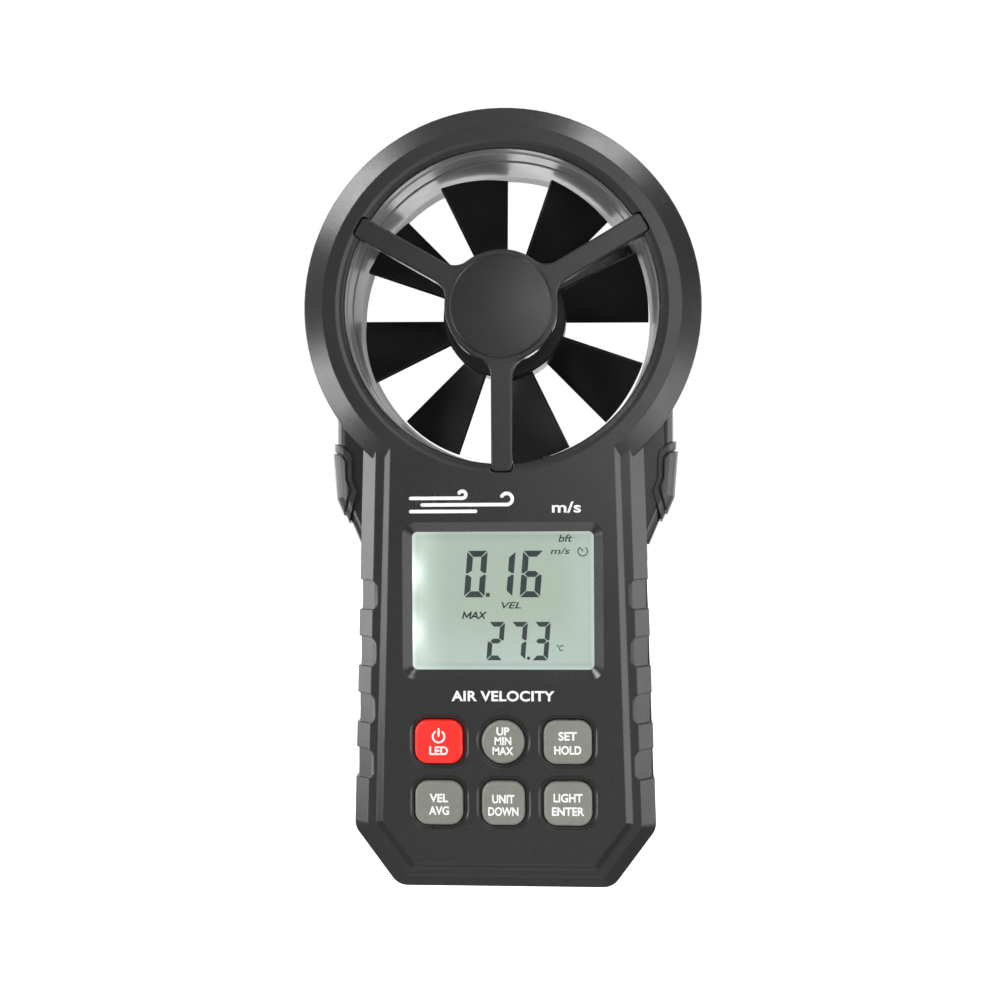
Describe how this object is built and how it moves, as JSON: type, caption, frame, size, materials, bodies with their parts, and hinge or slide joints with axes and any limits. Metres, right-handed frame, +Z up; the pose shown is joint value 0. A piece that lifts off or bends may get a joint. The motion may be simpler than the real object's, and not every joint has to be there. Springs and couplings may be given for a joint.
{
  "type": "vane anemometer",
  "caption": "Handheld vane anemometer: a bladed impeller in a round duct above a tapered charcoal case with a display, press keys and a sliding battery door.",
  "frame": {"origin": "middle of the case's bottom edge, half-way through the overall depth", "axes": "+Z up towards the duct, -Y out of the display, +X to the reader's right"},
  "size_m": [0.0972, 0.041, 0.1907],
  "materials": {
    "case_plastic": "fine-textured charcoal",
    "grip_plastic": "satin charcoal",
    "duct_plastic": "smooth grey",
    "guard_plastic": "fine-textured charcoal",
    "blade_plastic": "glossy black",
    "steel": "bright",
    "brass": "machined",
    "magnet": "nickel plated",
    "circuit_board": "solder mask green",
    "cable": "black insulation",
    "bead": "epoxy bead",
    "window": "clear",
    "display": "grey-green reflective display",
    "white_plastic": "white diffuser",
    "elastomer": "banded elastomer",
    "component_plastic": "black epoxy",
    "red_key": "satin red",
    "grey_key": "satin grey",
    "silicone": "translucent grey",
    "battery_jacket": "plain jacket",
    "foam": "closed-cell foam"
  },
  "bodies": {
    "housing": {"front_case": "case_plastic", "rear_case": "case_plastic", "left_shoulder_pad": "grip_plastic", "right_shoulder_pad": "grip_plastic", "front_duct_sleeve": "duct_plastic", "rear_duct_sleeve": "duct_plastic", "front_guard": "guard_plastic", "rear_guard": "guard_plastic", "front_bearing": "brass", "rear_bearing": "brass", "speed_sensor": "circuit_board", "sensor_lead": "cable", "thermistor": "bead", "display_window": "window", "lcd_glass": "display", "lcd_frame": "white_plastic", "backlight_panel": "white_plastic", "zebra_strips": "elastomer", "main_board": "circuit_board", "board_parts": "component_plastic", "buzzer": "component_plastic", "keypad_mat": "silicone", "battery": "battery_jacket", "battery_snap": "component_plastic", "battery_foam": "foam", "tripod_insert": "brass", "case_screws": "steel", "board_screws": "steel"},
    "rotor": {"impeller": "blade_plastic", "impeller_shaft": "steel", "rotor_magnet": "magnet"},
    "door": {"battery_door": "case_plastic"},
    "power_key_cap": {"power_key": "red_key"},
    "max_min_key_cap": {"max_min_key": "grey_key"},
    "hold_key_cap": {"hold_key": "grey_key"},
    "average_key_cap": {"average_key": "grey_key"},
    "unit_key_cap": {"unit_key": "grey_key"},
    "light_key_cap": {"light_key": "grey_key"}
  },
  "joints": [
    {"name": "impeller_spin", "type": "hinge", "parent": "housing", "child": "rotor", "pos_m": [0, 0.004, 0.1421], "axis": [0, 1, 0], "continuous": true},
    {"name": "power_key_press", "type": "slide", "parent": "housing", "child": "power_key_cap", "axis": [0, 1, 0], "range_m": [0, 0.0008]},
    {"name": "max_min_key_press", "type": "slide", "parent": "housing", "child": "max_min_key_cap", "axis": [0, 1, 0], "range_m": [0, 0.0008]},
    {"name": "hold_key_press", "type": "slide", "parent": "housing", "child": "hold_key_cap", "axis": [0, 1, 0], "range_m": [0, 0.0008]},
    {"name": "average_key_press", "type": "slide", "parent": "housing", "child": "average_key_cap", "axis": [0, 1, 0], "range_m": [0, 0.0008]},
    {"name": "unit_key_press", "type": "slide", "parent": "housing", "child": "unit_key_cap", "axis": [0, 1, 0], "range_m": [0, 0.0008]},
    {"name": "light_key_press", "type": "slide", "parent": "housing", "child": "light_key_cap", "axis": [0, 1, 0], "range_m": [0, 0.0008]},
    {"name": "battery_door_slide", "type": "slide", "parent": "housing", "child": "door", "axis": [0, 0, -1], "range_m": [0, 0.066]}
  ]
}
